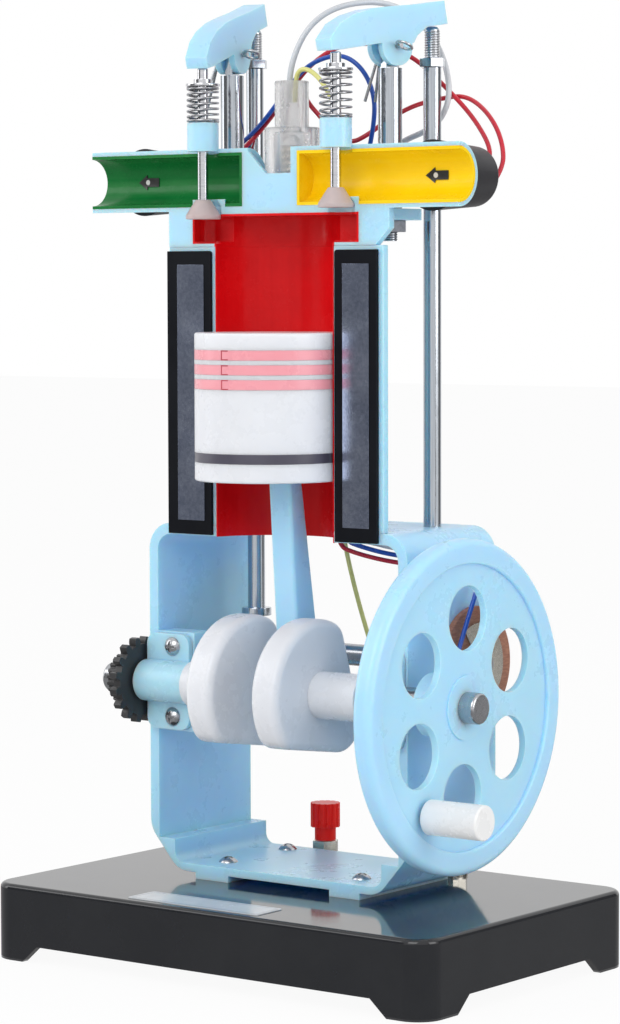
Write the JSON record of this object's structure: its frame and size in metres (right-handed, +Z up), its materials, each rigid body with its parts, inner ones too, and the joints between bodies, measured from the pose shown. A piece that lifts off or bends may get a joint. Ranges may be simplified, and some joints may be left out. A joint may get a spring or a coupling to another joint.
{
  "type": "sectioned engine model",
  "caption": "Sectioned piston-engine demonstration model on a plinth: hand-cranked flywheel, piston in a cut-away cylinder, geared camshaft, push rods, rockers and valves.",
  "frame": {"origin": "centre of the base, on the plane its feet stand on", "axes": "+X along the crankshaft towards the flywheel, -Y towards the cut-away front, +Z up"},
  "size_m": [0.2048, 0.1401, 0.3508],
  "materials": {
    "black_gloss": "gloss moulded",
    "label": "blank printed film",
    "steel": "bright plated",
    "light_blue": "satin moulded",
    "red_gloss": "glossy paint",
    "panel_black": "satin",
    "strip": "brushed",
    "green": "glossy paint",
    "yellow": "glossy paint",
    "arrow_black": "printed film",
    "lens": "translucent",
    "black_matte": "moulded",
    "dark_steel": "dark plated",
    "clear": "translucent",
    "brass": "plated",
    "phenolic": "laminate",
    "nickel": "nickel plated",
    "cap_red": "moulded",
    "cap_black": "moulded",
    "white": "moulded",
    "shaft_steel": "turned",
    "gear_black": "moulded",
    "spring_steel": "wound wire",
    "pink": "moulded",
    "ring_dark": "moulded",
    "wire_red": "insulation",
    "wire_blue": "insulation",
    "wire_yellow": "insulation",
    "wire_white": "insulation"
  },
  "bodies": {
    "stand": {"base_shell": "black_gloss", "label_plate": "label", "screws": "steel", "crankcase_frame": "light_blue", "bearing_caps": "light_blue", "cylinder_barrel": "light_blue", "cylinder_liner": "red_gloss", "jacket_panels": "panel_black", "jacket_strips": "strip", "cylinder_head": "light_blue", "chamber_lining": "red_gloss", "exhaust_lining": "green", "intake_lining": "yellow", "flow_arrows": "arrow_black", "pipe_lamps": "lens", "lamp_caps": "black_matte", "rocker_posts": "steel", "post_nuts": "dark_steel", "cotter_pins": "steel", "plug_socket": "clear", "plug_cap": "clear", "plug_bulb": "brass", "contact_board": "phenolic", "contact_plate": "nickel", "binding_studs": "nickel", "wire_red": "wire_red", "wire_blue": "wire_blue", "wire_yellow": "wire_yellow", "wire_white": "wire_white", "exhaust_spring": "spring_steel", "intake_spring": "spring_steel"},
    "crank": {"crank_webs": "white", "crankshaft": "shaft_steel", "crank_gear": "gear_black", "flywheel": "light_blue", "handle_pin": "shaft_steel"},
    "handle": {"handle_sleeve": "white"},
    "camshaft": {"camshaft": "shaft_steel", "cam_gear": "gear_black", "cams": "black_matte", "contact_wiper": "nickel"},
    "piston": {"piston_body": "white", "piston_rings": "pink", "oil_ring": "ring_dark", "wrist_pin": "shaft_steel"},
    "rod": {"connecting_rod": "light_blue", "crankpin": "shaft_steel"},
    "red_cap": {"binding_cap_red": "cap_red"},
    "black_cap": {"binding_cap_black": "cap_black"},
    "exhaust_valve": {"exhaust_valve_stem": "steel", "exhaust_valve_head": "clear"},
    "exhaust_rocker": {"exhaust_rocker": "light_blue"},
    "exhaust_push_rod": {"exhaust_push_rod": "steel"},
    "intake_valve": {"intake_valve_stem": "steel", "intake_valve_head": "clear"},
    "intake_rocker": {"intake_rocker": "light_blue"},
    "intake_push_rod": {"intake_push_rod": "steel"}
  },
  "joints": [
    {"name": "crank_spin", "type": "hinge", "parent": "stand", "child": "crank", "pos_m": [0, -0.0176, 0.1008], "axis": [1, 0, 0], "continuous": true},
    {"name": "handle_spin", "type": "hinge", "parent": "crank", "child": "handle", "pos_m": [0.095, -0.04066, 0.0657], "axis": [1, 0, 0], "continuous": true},
    {"name": "camshaft_spin", "type": "hinge", "parent": "stand", "child": "camshaft", "pos_m": [0, 0.02576, 0.11033], "axis": [1, 0, 0], "continuous": true},
    {"name": "piston_slide", "type": "slide", "parent": "stand", "child": "piston", "axis": [0, 0, 1], "range_m": [-0.0055, 0.0297]},
    {"name": "rod_swing", "type": "hinge", "parent": "piston", "child": "rod", "pos_m": [0.0015, -0.0176, 0.20329], "axis": [1, 0, 0], "range_deg": [-6.9, 1.4]},
    {"name": "exhaust_push", "type": "slide", "parent": "stand", "child": "exhaust_push_rod", "axis": [0, 0, 1], "range_m": [-0.00268, 0.00032], "stiffness_N_per_m": 400},
    {"name": "exhaust_rock", "type": "hinge", "parent": "stand", "child": "exhaust_rocker", "pos_m": [-0.0389, 0.00664, 0.331], "axis": [0.9734, 0.229, 0], "range_deg": [-8, 1.1]},
    {"name": "exhaust_valve_travel", "type": "slide", "parent": "stand", "child": "exhaust_valve", "axis": [0, 0, 1], "range_m": [-0.00046, 0.00342], "deforming": ["exhaust_spring"]},
    {"name": "intake_push", "type": "slide", "parent": "stand", "child": "intake_push_rod", "axis": [0, 0, 1], "range_m": [0, 0.003], "stiffness_N_per_m": 400, "springref_m": -0.001},
    {"name": "intake_rock", "type": "hinge", "parent": "stand", "child": "intake_rocker", "pos_m": [0.03292, 0.00656, 0.331], "axis": [0.9704, -0.2417, 0], "range_deg": [0, 8.8]},
    {"name": "intake_valve_travel", "type": "slide", "parent": "stand", "child": "intake_valve", "axis": [0, 0, 1], "range_m": [-0.0038, 0], "deforming": ["intake_spring"]},
    {"name": "red_cap_turn", "type": "hinge", "parent": "stand", "child": "red_cap", "pos_m": [-0.0295, 0.05, 0.04], "axis": [0, 0, 1], "continuous": true},
    {"name": "black_cap_turn", "type": "hinge", "parent": "stand", "child": "black_cap", "pos_m": [0.0305, 0.05, 0.04], "axis": [0, 0, 1], "continuous": true}
  ],
  "couplings": [
    {"joint": "camshaft_spin", "follows": "crank_spin", "ratio": -0.5},
    {"joint": "rod_swing", "follows": "piston_slide", "rad_per_m": -3.9704},
    {"joint": "exhaust_rock", "follows": "exhaust_push", "rad_per_m": 50.897},
    {"joint": "exhaust_valve_travel", "follows": "exhaust_push", "ratio": -1.2673},
    {"joint": "intake_rock", "follows": "intake_push", "rad_per_m": 50.533},
    {"joint": "intake_valve_travel", "follows": "intake_push", "ratio": -1.2583}
  ]
}
